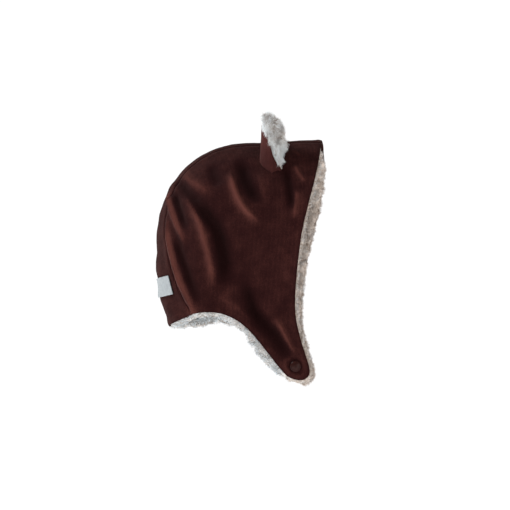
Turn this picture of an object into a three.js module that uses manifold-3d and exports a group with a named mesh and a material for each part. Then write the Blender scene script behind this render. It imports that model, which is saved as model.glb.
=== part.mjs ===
// Baby hat with ears: a soft winter hat with two long flaps, shown in the form it has on a head.
// Millimetres, +Z up. The face looks along -Y and +X is the wearer's left.
// The origin is where the head bears on the lining, inside the top of the crown.

import * as THREE from 'three';
import { mergeVertices } from 'three/addons/utils/BufferGeometryUtils.js';
import Module from 'manifold-3d';

const wasm = await Module();
wasm.setup();

// ---------------------------------------------------------------- driving dimensions

const CENTRE_Y = -10;              // middle of the hat, seen from the side
const CENTRE_Z = -100;
const HALF_WIDTH = 68;             // widest half of the hat, over the ears
const FLAP_HALF_WIDTH = 36;        // the same at the flaps, which hang in towards the neck
const NAPE_SHARE = 0.45;           // how much of that narrowing the nape takes part in
const BACK_Y = 85;                 // rearmost point of the crown
const NAPE_PULL = 10;              // how far the nape comes forward of it
const NAPE_DROP = 75.5;            // at this depth below the middle
const NAPE_BEND = 1.9;             // power of that curve
const FRONT_REACH = 150;           // how slowly the sides draw in towards the face
const LOW_REACH = 300;             // and towards the flaps
const CROWN_TOP = 9.5;
const FRONT_LIFT = 1.6;            // the brow stands this much higher than the crown
const ROUNDNESS = 2.28;            // power of the side view's superellipse
const SIDE_ROUNDNESS = 2;          // power of the front view's

const CLOTH = 1.5;                 // outer cloth
const FLEECE = 7.3;                // pile lining
const GAP = 0.3;                   // between pieces that touch
const TRIM_GAP = 0.45;             // under the ears and the label, which lie on facets
const BULGE = { front: 0.8, arch: 5, nape: 2 };     // how far the pile swells past the cloth's edges
const LINING_DEPTH = CLOTH + GAP;
const INSIDE_DEPTH = LINING_DEPTH + FLEECE;

const BROW_Y = -83.3;              // front edge of the crown panel
const BROW_HALF_WIDTH = 22;        // half the crown panel's width there
const NOTCH = { y: 41.6, z: -167 };     // where the seam ends, between flap and nape
const NAPE_Z = -174.9;             // lowest point of the crown panel
const CORNER_TURN = 0.46;          // share of the seam that runs over the top

const SIDE_COLUMNS = 13;
const BACK_ROWS = 14;
const ARCH_ROWS = 15;
const CROWN_COLUMNS = 6;

const SNAP = { y: -57.9, z: -217.1, radius: 5.25, sides: 20 };
const LABEL = { xRight: -36, xLeft: 0, top: -127.5, bottom: -146, thickness: 0.75 };

const COLOURS = {
  cloth: 0x43211f,
  earCloth: 0x4d2826,
  fleece: 0xd9d2c6,
  earFleece: 0xd8d9d8,
  label: 0xb9bbbd,
  snap: 0x3a2320,
};

const { lerp, clamp, smoothstep, degToRad } = THREE.MathUtils;
const v3 = (x, y, z) => new THREE.Vector3(x, y, z);
const v2 = (y, z) => new THREE.Vector2(y, z);

// ---------------------------------------------------------------- form of the hat

function halfWidthAt(y, z) {
  const share = lerp(NAPE_SHARE, 1, smoothstep(-y, -45, 30));
  return lerp(HALF_WIDTH, FLAP_HALF_WIDTH, share * smoothstep(-z, 45, 180));
}

const backAt = (z) => BACK_Y - NAPE_PULL * Math.max(0, (CENTRE_Z - z) / NAPE_DROP) ** NAPE_BEND;
const topAt = (y) => CROWN_TOP + FRONT_LIFT * smoothstep(-y, 10, 70);

// 0 in the middle of the side view and 1 on its outline.
function sideLevel(y, z) {
  const back = Math.max(0, (y - CENTRE_Y) / (backAt(z) - CENTRE_Y)) ** ROUNDNESS;
  const front = Math.max(0, (CENTRE_Y - y) / FRONT_REACH) ** ROUNDNESS;
  const rise = (topAt(y) - CENTRE_Z) / (1 - front) ** (1 / ROUNDNESS);
  const up = Math.max(0, (z - CENTRE_Z) / rise) ** ROUNDNESS;
  const down = Math.max(0, (CENTRE_Z - z) / LOW_REACH) ** ROUNDNESS;
  return back + front + up + down;
}

// Half the hat's width at a place in the side view.
function halfWidth(y, z) {
  return halfWidthAt(y, z) * Math.max(0, 1 - sideLevel(y, z)) ** (1 / SIDE_ROUNDNESS);
}

// Below 0 inside the hat's smooth outer form, 0 on it and above 0 outside.
function formLevel(p) {
  return (Math.abs(p.x) / halfWidthAt(p.y, p.z)) ** SIDE_ROUNDNESS + sideLevel(p.y, p.z) - 1;
}

function formGradient(p) {
  const step = 0.05;
  const slope = (axis) => {
    const ahead = p.clone();
    const behind = p.clone();
    ahead[axis] += step;
    behind[axis] -= step;
    return (formLevel(ahead) - formLevel(behind)) / (2 * step);
  };
  return v3(slope('x'), slope('y'), slope('z'));
}

const formNormal = (p) => formGradient(p).normalize();

// The point of the smooth form nearest to p.
function ontoForm(p) {
  const q = p.clone();
  for (let round = 0; round < 12; round += 1) {
    const gradient = formGradient(q);
    q.addScaledVector(gradient, -formLevel(q) / gradient.lengthSq());
  }
  return q;
}

// Goes from inside towards outside until it meets the form.
function reachForm(inside, outside) {
  let near = inside.clone();
  let far = outside.clone();
  for (let round = 0; round < 40; round += 1) {
    const middle = near.clone().lerp(far, 0.5);
    if (formLevel(middle) < 0) {
      near = middle;
    } else {
      far = middle;
    }
  }
  return near;
}

const onSide = (y, z) => v3(-halfWidth(y, z), y, z);
const onTop = (x, y) => reachForm(v3(x, y, CENTRE_Z), v3(x, y, 60));
const onBack = (x, z) => reachForm(v3(x, CENTRE_Y, z), v3(x, 160, z));

// ---------------------------------------------------------------- soft folds

// Each fold runs along a curve of the side view; a height below 0 is a hollow.
const fold = (start, bend, end, width, height) => ({
  path: new THREE.QuadraticBezierCurve(v2(...start), v2(...bend), v2(...end)).getPoints(16),
  width,
  height,
});

const FOLDS = [
  fold([60, -46], [52, -66], [46, -90], 9, -2.2),
  fold([71, -92], [65, -128], [41, -163], 8, 1.8),
  fold([47, -58], [28, -88], [20, -140], 9, 2.2),
  fold([26, -68], [8, -108], [15, -146], 9, -2.2),
  fold([10, -30], [0, -50], [-21, -81], 9, 2.2),
  fold([-7, -18], [-9, -36], [-14, -58], 9, -2.0),
  fold([-51, -26], [-54, -46], [-57, -72], 8, -1.4),
  fold([-12, -132], [-16, -172], [-50, -205], 9, -2.0),
];

// Height of one fold at a place: a soft ridge across, fading out at both ends.
function foldAt({ path, width, height }, place) {
  let nearest = Infinity;
  let along = 0;
  path.forEach((point, index) => {
    const distance = point.distanceTo(place);
    if (distance < nearest) {
      nearest = distance;
      along = index / (path.length - 1);
    }
  });
  const ends = smoothstep(along, 0, 0.25) * (1 - smoothstep(along, 0.75, 1));
  return height * ends * Math.exp(-((nearest / width) ** 2));
}

function foldHeight(p) {
  const place = v2(p.y, p.z);
  return FOLDS.reduce((sum, one) => sum + foldAt(one, place), 0);
}

// The folded surface, sunk by depth below the cloth's outer face.
function sunk(p, depth) {
  return p.clone().addScaledVector(formNormal(p), foldHeight(p) - depth);
}

// ---------------------------------------------------------------- sheets of points on the form

// A patch between four rows of points: top and bottom run across, left and right run down.
function patch(top, bottom, left, right) {
  const columns = top.length - 1;
  const rows = left.length - 1;
  const points = [];
  const quads = [];
  const blend = (i, j) => {
    const u = i / columns;
    const v = j / rows;
    const p = top[i].clone().multiplyScalar(1 - v).addScaledVector(bottom[i], v);
    p.addScaledVector(left[j], 1 - u).addScaledVector(right[j], u);
    p.addScaledVector(top[0], -(1 - u) * (1 - v)).addScaledVector(top[columns], -u * (1 - v));
    return p.addScaledVector(bottom[0], -(1 - u) * v).addScaledVector(bottom[columns], -u * v);
  };
  for (let j = 0; j <= rows; j += 1) {
    for (let i = 0; i <= columns; i += 1) {
      points.push(ontoForm(blend(i, j)));
    }
  }
  for (let j = 0; j < rows; j += 1) {
    for (let i = 0; i < columns; i += 1) {
      const corner = j * (columns + 1) + i;
      quads.push([corner, corner + 1, corner + columns + 2, corner + columns + 1]);
    }
  }
  return facedOut({ points, quads });
}

// Turns every quad so that it faces away from the hat's inside.
function facedOut({ points, quads }) {
  const [a, b, c] = quads[Math.floor(quads.length / 2)].map((index) => points[index]);
  const facing = b.clone().sub(a).cross(c.clone().sub(a));
  const turned = facing.dot(formNormal(a)) < 0;
  return { points, quads: turned ? quads.map((quad) => [...quad].reverse()) : quads };
}

function mirroredSheet({ points, quads }) {
  return {
    points: points.map((p) => v3(-p.x, p.y, p.z)),
    quads: quads.map((quad) => [...quad].reverse()),
  };
}

// Welds sheets that share the points along their seams.
function joinedSheets(sheets) {
  const points = [];
  const places = new Map();
  const weld = (p) => {
    const key = p.toArray().map((value) => Math.round(value * 1000)).join();
    if (!places.has(key)) {
      places.set(key, points.length);
      points.push(p);
    }
    return places.get(key);
  };
  const quads = sheets.flatMap((sheet) => {
    const indices = sheet.points.map(weld);
    return sheet.quads.map((quad) => quad.map((index) => indices[index]));
  });
  return { points, quads };
}

// Draws the named points in towards their neighbours, which opens a seam's gap.
function drawnIn({ points, quads }, indices, distance) {
  const moved = points.map((p) => p.clone());
  indices.forEach((index) => {
    const around = quads.filter((quad) => quad.includes(index)).flat();
    const middle = v3(0, 0, 0);
    around.forEach((other) => middle.addScaledVector(points[other], 1 / around.length));
    moved[index].add(middle.sub(points[index]).setLength(distance));
  });
  return { points: moved, quads, shape: points };
}

// ---------------------------------------------------------------- solids

function asGeometry(positions, triangles) {
  const geometry = new THREE.BufferGeometry();
  geometry.setAttribute('position', new THREE.Float32BufferAttribute(positions, 3));
  geometry.setIndex(triangles);
  geometry.computeVertexNormals();
  return geometry;
}

// Each quad is split along its shorter diagonal, judged on the sheet's own shape.
function trianglesOf({ points, quads, shape = points }) {
  return quads.flatMap(([a, b, c, d]) => {
    const first = shape[a].distanceTo(shape[c]);
    const second = shape[b].distanceTo(shape[d]);
    return first <= second ? [[a, b, c], [a, c, d]] : [[a, b, d], [b, c, d]];
  });
}

// The directed edges that only one triangle has.
function openEdges(triangles) {
  const edges = new Map();
  triangles.forEach(([a, b, c]) => {
    [[a, b], [b, c], [c, a]].forEach(([from, to]) => {
      if (!edges.delete(`${to} ${from}`)) {
        edges.set(`${from} ${to}`, [from, to]);
      }
    });
  });
  return [...edges.values()];
}

// Turns a sheet into a wall from the outer depth to the inner one; its rim may swell outwards.
function wall(sheet, outerDepth, innerDepth, bulgeAt = null) {
  const { points } = sheet;
  const outer = trianglesOf(sheet);
  const count = points.length;
  const positions = points.map((p) => sunk(p, outerDepth));
  positions.push(...points.map((p) => sunk(p, innerDepth)));
  const inner = outer.map(([a, b, c]) => [c + count, b + count, a + count]);
  const edges = openEdges(outer);
  const rims = new Map();
  edges.forEach(([from, to]) => {
    const outward = positions[to].clone().sub(positions[from]).cross(formNormal(points[from]));
    [from, to].forEach((index) => {
      const sum = rims.get(index) ?? v3(0, 0, 0);
      rims.set(index, sum.add(outward.clone().normalize()));
    });
  });
  const rimOf = new Map();
  rims.forEach((outward, index) => {
    const middle = positions[index].clone().lerp(positions[index + count], 0.5);
    rimOf.set(index, positions.length);
    const bulge = bulgeAt ? bulgeAt(points[index]) : 0;
    positions.push(middle.addScaledVector(outward.normalize(), bulge));
  });
  const rim = edges.flatMap(([a, b]) => {
    if (!bulgeAt) {
      return [[b, a, a + count], [b, a + count, b + count]];
    }
    const [ra, rb] = [rimOf.get(a), rimOf.get(b)];
    return [[b, a, ra], [b, ra, rb], [rb, ra, a + count], [rb, a + count, b + count]];
  });
  const used = bulgeAt ? positions : positions.slice(0, 2 * count);
  return asGeometry(used.flatMap((p) => p.toArray()), [...outer, ...inner, ...rim].flat());
}

// Closed rings of points, one above the other, joined into a solid with flat ends.
function loft(rings) {
  const size = rings[0].length;
  const last = rings.length - 1;
  const positions = rings.flat();
  const triangles = [];
  for (let ring = 0; ring < last; ring += 1) {
    for (let k = 0; k < size; k += 1) {
      const a = ring * size + k;
      const b = ring * size + ((k + 1) % size);
      triangles.push([a, b, b + size], [a, b + size, a + size]);
    }
  }
  THREE.ShapeUtils.triangulateShape(outlineOf(rings[0]), [])
    .forEach(([a, b, c]) => triangles.push([c, b, a]));
  THREE.ShapeUtils.triangulateShape(outlineOf(rings[last]), [])
    .forEach((corners) => triangles.push(corners.map((index) => index + last * size)));
  return facingOut(asGeometry(positions.flatMap((p) => p.toArray()), triangles.flat()));
}

// A ring's points in its own plane, counter-clockwise as the ring runs.
function outlineOf(ring) {
  const origin = ring[0];
  const normal = v3(0, 0, 0);
  for (let k = 1; k < ring.length - 1; k += 1) {
    normal.add(ring[k].clone().sub(origin).cross(ring[k + 1].clone().sub(origin)));
  }
  const across = ring[1].clone().sub(origin).normalize();
  const up = normal.normalize().clone().cross(across);
  return ring.map((p) => p.clone().sub(origin)).map((p) => v2(p.dot(across), p.dot(up)));
}

function signedVolume(geometry) {
  const position = geometry.attributes.position;
  const corner = (k) => v3(0, 0, 0).fromBufferAttribute(position, geometry.index.getX(k));
  let volume = 0;
  for (let k = 0; k < geometry.index.count; k += 3) {
    volume += corner(k).dot(corner(k + 1).cross(corner(k + 2))) / 6;
  }
  return volume;
}

function facingOut(geometry) {
  if (signedVolume(geometry) < 0) {
    const index = Array.from(geometry.index.array);
    geometry.setIndex(index.map((_, k) => index[k - (k % 3) + (2 - (k % 3))]));
  }
  return geometry;
}

function asSolid(source) {
  const bare = source.clone();
  bare.deleteAttribute('normal');
  bare.deleteAttribute('uv');
  const merged = mergeVertices(bare, 1e-4);
  return new wasm.Manifold(new wasm.Mesh({
    numProp: 3,
    vertProperties: new Float32Array(merged.attributes.position.array),
    triVerts: new Uint32Array(merged.index.array),
  }));
}

// The first geometry with the others cut away.
function without(geometry, ...cutters) {
  const mesh = cutters.reduce((solid, cutter) => solid.subtract(asSolid(cutter)),
    asSolid(geometry)).getMesh();
  return asGeometry(Array.from(mesh.vertProperties), Array.from(mesh.triVerts));
}

function mirrored(geometry) {
  return facingOut(geometry.clone().scale(-1, 1, 1));
}

// ---------------------------------------------------------------- seams and edges

// The seam between a side panel and the crown panel, from brow (0) to notch (1).
function seamCurve() {
  const brow = onTop(-BROW_HALF_WIDTH, BROW_Y);
  const browAngle = Math.atan2(brow.z - CENTRE_Z, BROW_Y - CENTRE_Y);
  const notchAngle = Math.atan2(NOTCH.z - CENTRE_Z, NOTCH.y - CENTRE_Y);
  const notchHalfWidth = halfWidth(NOTCH.y, NOTCH.z);
  const points = [];
  for (let t = 0; t <= 1; t += 1 / 32) {
    const angle = lerp(browAngle, notchAngle, t);
    const x = -lerp(BROW_HALF_WIDTH, notchHalfWidth, t);
    const far = v3(x, CENTRE_Y + 200 * Math.cos(angle), CENTRE_Z + 200 * Math.sin(angle));
    points.push(reachForm(v3(x, CENTRE_Y, CENTRE_Z), far));
  }
  return new THREE.CatmullRomCurve3(points);
}

function spacedAlong(curve, from, to, count) {
  const points = [];
  for (let k = 0; k <= count; k += 1) {
    points.push(ontoForm(curve.getPointAt(lerp(from, to, k / count))));
  }
  return points;
}

// An edge drawn in the side view, carried onto the form.
function edgeAlong(curves, count) {
  const path = new THREE.CurvePath();
  curves.forEach(([a, b, c, d]) => path.add(new THREE.CubicBezierCurve(a, b, c, d)));
  return path.getSpacedPoints(count).map((p) => onSide(p.x, p.y));
}

const browZ = onTop(-BROW_HALF_WIDTH, BROW_Y).z;
const FRONT_EDGE = [
  [v2(BROW_Y, browZ), v2(-83.6, -34), v2(-70.5, -66), v2(-65.1, -97.3)],
  [v2(-65.1, -97.3), v2(-61.8, -118), v2(-58, -140), v2(-58, -160)],
  [v2(-58, -160), v2(-58, -180), v2(-67.5, -203), v2(-71.6, -218.5)],
];
const FLAP_TIP = [
  [v2(-71.6, -218.5), v2(-73, -224.5), v2(-70.3, -230), v2(-64, -230.6)],
  [v2(-64, -230.6), v2(-59.5, -231), v2(-53.8, -229.6), v2(-48.9, -225.9)],
];
const ARCH_EDGE = [
  [v2(NOTCH.y, NOTCH.z), v2(23, -161.5), v2(4, -166.5), v2(-10.4, -179.5)],
  [v2(-10.4, -179.5), v2(-20, -188), v2(-41, -218.5), v2(-48.9, -225.9)],
];

const seam = seamCurve();
const seamOverTop = spacedAlong(seam, 0, CORNER_TURN, SIDE_COLUMNS);
const seamDownBack = spacedAlong(seam, CORNER_TURN, 1, BACK_ROWS);
const wholeSeam = [...seamOverTop, ...seamDownBack.slice(1)];

function sideSheet() {
  const front = edgeAlong(FRONT_EDGE, BACK_ROWS + ARCH_ROWS);
  const tip = edgeAlong(FLAP_TIP, SIDE_COLUMNS);
  const rear = [...seamDownBack, ...edgeAlong(ARCH_EDGE, ARCH_ROWS).slice(1)];
  return patch(seamOverTop, tip, front, rear);
}

function crownSheet() {
  const left = wholeSeam.map((p) => v3(-p.x, p.y, p.z));
  const across = (half, place) => {
    const points = [];
    for (let i = 0; i <= CROWN_COLUMNS; i += 1) {
      points.push(place(lerp(-half, half, i / CROWN_COLUMNS)));
    }
    return points;
  };
  const brow = across(BROW_HALF_WIDTH, (x) => onTop(x, BROW_Y));
  const notchHalfWidth = halfWidth(NOTCH.y, NOTCH.z);
  const napeRise = (x) => (NOTCH.z - NAPE_Z) * Math.abs(x / notchHalfWidth) ** 3;
  const nape = across(notchHalfWidth, (x) => onBack(x, NAPE_Z + napeRise(x)));
  return patch(brow, nape, wholeSeam, left);
}

// Indices of the side panel's points along the seam.
function sideSeamPoints() {
  const top = Array.from({ length: SIDE_COLUMNS + 1 }, (_, i) => i);
  const back = Array.from({ length: BACK_ROWS }, (_, j) => (j + 2) * (SIDE_COLUMNS + 1) - 1);
  return [...top, ...back];
}

function crownSeamPoints() {
  return wholeSeam.flatMap((_, j) => {
    const start = j * (CROWN_COLUMNS + 1);
    return [start, start + CROWN_COLUMNS];
  });
}

// ---------------------------------------------------------------- snaps

// Stands a turned shape on the right flap at the snap: its foot at a depth, facing out or in.
function snapPart(profile, depth, facing) {
  const outline = profile.map(([radius, height]) => v2(radius, height));
  const geometry = new THREE.LatheGeometry(outline, SNAP.sides);
  const foot = onSide(SNAP.y, SNAP.z);
  const outward = formNormal(foot);
  const turn = new THREE.Quaternion()
    .setFromUnitVectors(v3(0, 1, 0), outward.clone().multiplyScalar(facing));
  const place = sunk(foot, depth).addScaledVector(outward, facing * GAP);
  geometry.applyQuaternion(turn).translate(place.x, place.y, place.z);
  geometry.deleteAttribute('uv');
  geometry.deleteAttribute('normal');
  return facingOut(mergeVertices(geometry, 1e-4));
}

const SNAP_CAP = [[0, 2.3], [2.4, 2.1], [4.1, 1.55], [5, 0.85], [SNAP.radius, 0.35], [5, 0], [0, 0]];
const SNAP_SOCKET = [[0, 0], [4.6, 0], [4.6, 1.5], [3.9, 2], [2.4, 2], [2.2, 0.9], [0, 0.9]];
const SNAP_STUD = [[0, 0], [4.6, 0], [4.6, 0.6], [4.2, 0.9], [2, 0.9], [2.15, 2.2], [1.4, 2.7], [0, 2.7]];

// ---------------------------------------------------------------- ears

const EAR = {
  foot: onTop(-38, -24),           // rear middle of the ear, where it meets the crown
  tip: v3(-57, -28, 19.5),         // tip of the cloth
  turn: 15,                        // degrees by which the ear opens sideways from the face
  halfWidth: 17,
  depth: 24,                       // how far the rims curl forward of the back
  tipHalfWidth: 1.6,
  tipDepth: 1.2,
  footPile: 0.6,                   // how far the fleece stands in front of the rims
  tipPile: 17,
  footSpill: -1.2,                 // how far it spills sideways past the rims
  midSpill: 1,
  pileHalfWidth: 7,                // the fleece stays this wide towards its tip
  pileShoulder: 0.9,               // height at which its tip starts to round off
  pileTip: 1.24,                   // height of the fleece tip over the cloth's
  below: -0.5,                     // start under the crown's surface, before the cut
  bends: 8,
  rings: 9,
};

const earUp = EAR.tip.clone().sub(EAR.foot);
const earFacing = v3(-Math.sin(degToRad(EAR.turn)), -Math.cos(degToRad(EAR.turn)), 0);
const earFront = earFacing.projectOnPlane(earUp.clone().normalize()).normalize();
const earOut = earFront.clone().cross(earUp).normalize();

function earPoint(height, out, front) {
  return EAR.foot.clone().addScaledVector(earUp, height)
    .addScaledVector(earOut, out).addScaledVector(earFront, front);
}

// Half width, depth and cloth thickness of the ear at a height from foot (0) to tip (1).
function earSize(height) {
  const left = clamp(1 - height, 0, 1.4);
  const half = lerp(EAR.tipHalfWidth, EAR.halfWidth, left ** 0.85);
  const depth = lerp(EAR.tipDepth, EAR.depth, left);
  return { half, depth, cloth: Math.min(CLOTH, half * 0.55, depth * 0.55) };
}

// The curl of an ear's section: a half ellipse, sunk below the cloth's outer face.
function earCurl(height, sink, turn) {
  const { half, depth } = earSize(height);
  const points = [];
  for (let k = 0; k <= EAR.bends; k += 1) {
    const angle = turn * lerp(-90, 90, k / EAR.bends);
    const out = (half - sink) * Math.sin(degToRad(angle));
    const front = sink + (depth - sink) * (1 - Math.cos(degToRad(angle)));
    points.push(earPoint(height, out, front));
  }
  return points;
}

function earRings(from, to, ring) {
  return Array.from({ length: EAR.rings + 1 }, (_, k) => ring(lerp(from, to, k / EAR.rings)));
}

function earBackBlank() {
  const ring = (height) => {
    const { cloth } = earSize(height);
    return [...earCurl(height, 0, 1), ...earCurl(height, cloth, -1)];
  };
  return loft(earRings(EAR.below, 1, ring));
}

// The pile fills the curl, spills past the rims and ends in a blunt tip above the cloth.
function earFleeceBlank() {
  const roundedOff = EAR.pileTip + 0.02;
  const ring = (height) => {
    const { half, depth, cloth } = earSize(height);
    const over = clamp((height - EAR.pileShoulder) / (roundedOff - EAR.pileShoulder), 0, 1);
    const fade = Math.sqrt(1 - over ** 2);
    const sideways = lerp(EAR.footSpill, EAR.midSpill, smoothstep(height, 0, 0.6));
    const spill = Math.max(half + sideways, EAR.pileHalfWidth) * fade;
    const pile = lerp(EAR.footPile, EAR.tipPile, smoothstep(height, 0.1, 0.95)) * fade;
    const points = earCurl(height, cloth + GAP, 1);
    for (let k = 0; k <= EAR.bends; k += 1) {
      const angle = degToRad(lerp(0, 180, k / EAR.bends));
      const front = depth + 2 * GAP + pile * Math.sin(angle) ** 0.8;
      points.push(earPoint(height, spill * Math.cos(angle), front));
    }
    return points;
  };
  return loft(earRings(EAR.below, EAR.pileTip, ring));
}

// What the hat's crown takes away from an ear's foot.
function earCutter() {
  const inner = -8;                // x of its edge over the crown
  const low = -62;                 // z of its edge down the side
  const [front, rear] = [-68, 6];
  const count = 14;
  const thickness = 30;
  const line = (a, b) => Array.from({ length: count + 1 },
    (_, k) => ontoForm(a.clone().lerp(b, k / count)));
  const corners = [onTop(inner, front), onSide(front, low), onTop(inner, rear), onSide(rear, low)];
  const sheet = patch(line(corners[0], corners[1]), line(corners[2], corners[3]),
    line(corners[0], corners[2]), line(corners[1], corners[3]));
  return wall(sheet, -TRIM_GAP, thickness);
}

// ---------------------------------------------------------------- label

function labelGeometry() {
  const { xLeft, xRight, top, bottom, thickness } = LABEL;
  const line = (a, b, count) => Array.from({ length: count + 1 },
    (_, k) => ontoForm(a.clone().lerp(b, k / count)));
  const corners = [onBack(xRight, top), onBack(xLeft, top), onBack(xRight, bottom),
    onBack(xLeft, bottom)];
  const sheet = patch(line(corners[0], corners[1], 5), line(corners[2], corners[3], 5),
    line(corners[0], corners[2], 3), line(corners[1], corners[3], 3));
  return wall(sheet, -TRIM_GAP - thickness, -TRIM_GAP);
}

// ---------------------------------------------------------------- the hat

function material(color, roughness) {
  return new THREE.MeshStandardMaterial({ color, roughness, metalness: 0 });
}

function named(name, geometry, look) {
  const mesh = new THREE.Mesh(geometry, look);
  mesh.name = name;
  return mesh;
}

// A piece on the wearer's right with its mirror image on the left.
function pair(name, geometry, look) {
  return [
    named(`${name}_right`, geometry, look()),
    named(`${name}_left`, mirrored(geometry), look()),
  ];
}

const cloth = () => material(COLOURS.cloth, 0.9);
const snapLook = () => material(COLOURS.snap, 0.3);
const sideSurface = sideSheet();
const crownSurface = crownSheet();

const sidePanel = wall(drawnIn(sideSurface, sideSeamPoints(), GAP / 2), 0, CLOTH);
const crownPanel = wall(drawnIn(crownSurface, crownSeamPoints(), GAP / 2), 0, CLOTH);
const wholeSurface = joinedSheets([sideSurface, crownSurface, mirroredSheet(sideSurface)]);

// How far the pile swells past the cloth's edge: most along the arch, behind the flaps.
function pileBulge({ y }) {
  const rear = smoothstep(y, -60, -35);
  const nape = smoothstep(y, 45, 65);
  return lerp(lerp(BULGE.front, BULGE.arch, rear), BULGE.nape, nape);
}

const lining = wall(wholeSurface, LINING_DEPTH, INSIDE_DEPTH, pileBulge);
const earBack = without(earBackBlank(), earCutter());
const earFleece = without(earFleeceBlank(), earCutter());

const hat = new THREE.Group();
hat.add(
  ...pair('side_panel', sidePanel, cloth),
  named('crown_panel', crownPanel, cloth()),
  named('lining', lining, material(COLOURS.fleece, 1)),
  ...pair('ear_back', earBack, () => material(COLOURS.earCloth, 0.9)),
  ...pair('ear_fleece', earFleece, () => material(COLOURS.earFleece, 1)),
  named('label', labelGeometry(), material(COLOURS.label, 0.7)),
  ...pair('snap_cap', snapPart(SNAP_CAP, 0, 1), snapLook),
  named('snap_socket', snapPart(SNAP_SOCKET, INSIDE_DEPTH, -1), snapLook()),
  named('snap_stud', mirrored(snapPart(SNAP_STUD, INSIDE_DEPTH, -1)), snapLook()),
);

export default hat;
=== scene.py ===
"""Baby hat with ears: brushed knit outside, curly fleece inside, snaps and a blank label.

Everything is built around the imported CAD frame, in metres: +Z is up, the face looks along -Y, and
the wearer's right is -X. The hat is held up by the head that would wear it, so its flaps hang free.
"""
import math

import bmesh
import bpy
import numpy as np
from mathutils import Matrix, Vector
from mathutils.bvhtree import BVHTree
from mathutils.kdtree import KDTree


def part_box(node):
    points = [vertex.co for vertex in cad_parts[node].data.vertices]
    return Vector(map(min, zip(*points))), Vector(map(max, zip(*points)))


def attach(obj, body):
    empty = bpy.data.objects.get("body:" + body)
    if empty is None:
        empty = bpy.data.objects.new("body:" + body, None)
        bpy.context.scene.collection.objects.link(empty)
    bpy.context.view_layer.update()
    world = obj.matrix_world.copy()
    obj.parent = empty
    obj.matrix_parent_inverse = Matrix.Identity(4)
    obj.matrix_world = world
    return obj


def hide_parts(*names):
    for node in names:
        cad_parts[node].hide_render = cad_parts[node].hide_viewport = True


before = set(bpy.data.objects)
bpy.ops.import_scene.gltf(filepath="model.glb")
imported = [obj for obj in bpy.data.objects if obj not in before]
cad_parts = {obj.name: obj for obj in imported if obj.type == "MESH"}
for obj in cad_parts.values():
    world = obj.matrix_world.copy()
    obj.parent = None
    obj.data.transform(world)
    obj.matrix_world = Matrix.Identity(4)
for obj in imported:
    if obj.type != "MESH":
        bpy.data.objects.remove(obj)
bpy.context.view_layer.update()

MM = 0.001

# The head that the hat is cut for: its middle, and its reach to each side, back, front and top.
HEAD_MIDDLE = np.array([0.0, -10.0, -100.0]) * MM
HEAD_SIDE = 68 * MM
HEAD_BACK = 95 * MM
HEAD_FRONT = 150 * MM
HEAD_TOP = 110 * MM

CLOTH = 1.5 * MM
PANEL_LEVELS = 3
SEAM_REACH = 2 * MM          # panel edges closer than this are sewn to each other
SEAM_DEPTH = 0.6 * MM
SEAM_WIDTH = 1.3 * MM
SEAM_PUFF = 0.35 * MM
SEAM_PUFF_AT = 4.5 * MM
SEAM_PUFF_WIDTH = 2.6 * MM
COVER_REACH = 5 * MM         # fleece with cloth nearer than this over it needs no pile

FLOOR_Z = -0.42
CAMERA_TURN = math.radians(6)
CAMERA_RISE = math.radians(7)
CAMERA_FAR = 1.6
CAMERA_AIM = Vector((0, -0.015, -0.104))
CAMERA_LENS = 112.94
CAMERA_SENSOR = 36

rng = np.random.default_rng(21)


# ---------------------------------------------------------------- noise and curves

def hashed(cells, seed):
    """A number from 0 to 1 for each whole-number cell, scattered by large odd factors."""
    x, y, z = (cells[:, k].astype(np.int64).astype(np.uint32) for k in range(3))
    h = x * np.uint32(374761393) + y * np.uint32(668265263) + z * np.uint32(2246822519)
    h = h + np.uint32(seed * 3266489917 % 2**32)
    h = (h ^ (h >> np.uint32(13))) * np.uint32(1274126177)
    h = h ^ (h >> np.uint32(16))
    return h / 2.0**32


def noise(points, size, seed=0):
    """Smooth noise from -1 to 1 that changes over about size; size may differ along each axis."""
    p = points / np.asarray(size, float)
    base = np.floor(p)
    t = p - base
    t = t * t * (3 - 2 * t)
    total = np.zeros(len(p))
    for corner in np.ndindex(2, 2, 2):
        c = np.array(corner)
        weight = np.prod(np.where(c == 1, t, 1 - t), axis=1)
        total += weight * hashed(base + c, seed)
    return 2 * total - 1


def smooth(t, low, high):
    """0 below low, 1 above high, and an even curve between."""
    t = np.clip((t - low) / (high - low), 0, 1)
    return t * t * (3 - 2 * t)


def bump(t, width):
    """A rounded hump: 1 at 0, and nearly 0 beyond twice its width."""
    return np.exp(-((t / width) ** 2))


def curve_through(points, steps=8):
    """A smooth line through a few points, as many short pieces."""
    p = np.array(points, float)
    p = np.vstack([2 * p[0] - p[1], p, 2 * p[-1] - p[-2]])
    line = []
    for a, b, c, d in zip(p, p[1:], p[2:], p[3:]):
        for t in np.arange(steps) / steps:
            line.append(
                0.5 * (2 * b + (c - a) * t + (2 * a - 5 * b + 4 * c - d) * t**2
                       + (3 * b - a - 3 * c + d) * t**3)
            )
    line.append(p[-2])
    return np.array(line)


def beside(line, places):
    """Signed distance of each place from a line, positive on its left, and how far along, 0 to 1."""
    best = np.full(len(places), np.inf)
    signed = np.zeros(len(places))
    along = np.zeros(len(places))
    count = len(line) - 1
    for i, (a, b) in enumerate(zip(line, line[1:])):
        d = b - a
        t = np.clip((places - a) @ d / (d @ d), 0, 1)
        off = places - a - t[:, None] * d
        far = np.linalg.norm(off, axis=1)
        near = far < best
        best = np.where(near, far, best)
        side = np.sign(d[0] * off[:, 1] - d[1] * off[:, 0])
        signed = np.where(near, side * far, signed)
        along = np.where(near, (i + t) / count, along)
    return signed, along


# ---------------------------------------------------------------- the folds of the sides

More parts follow.
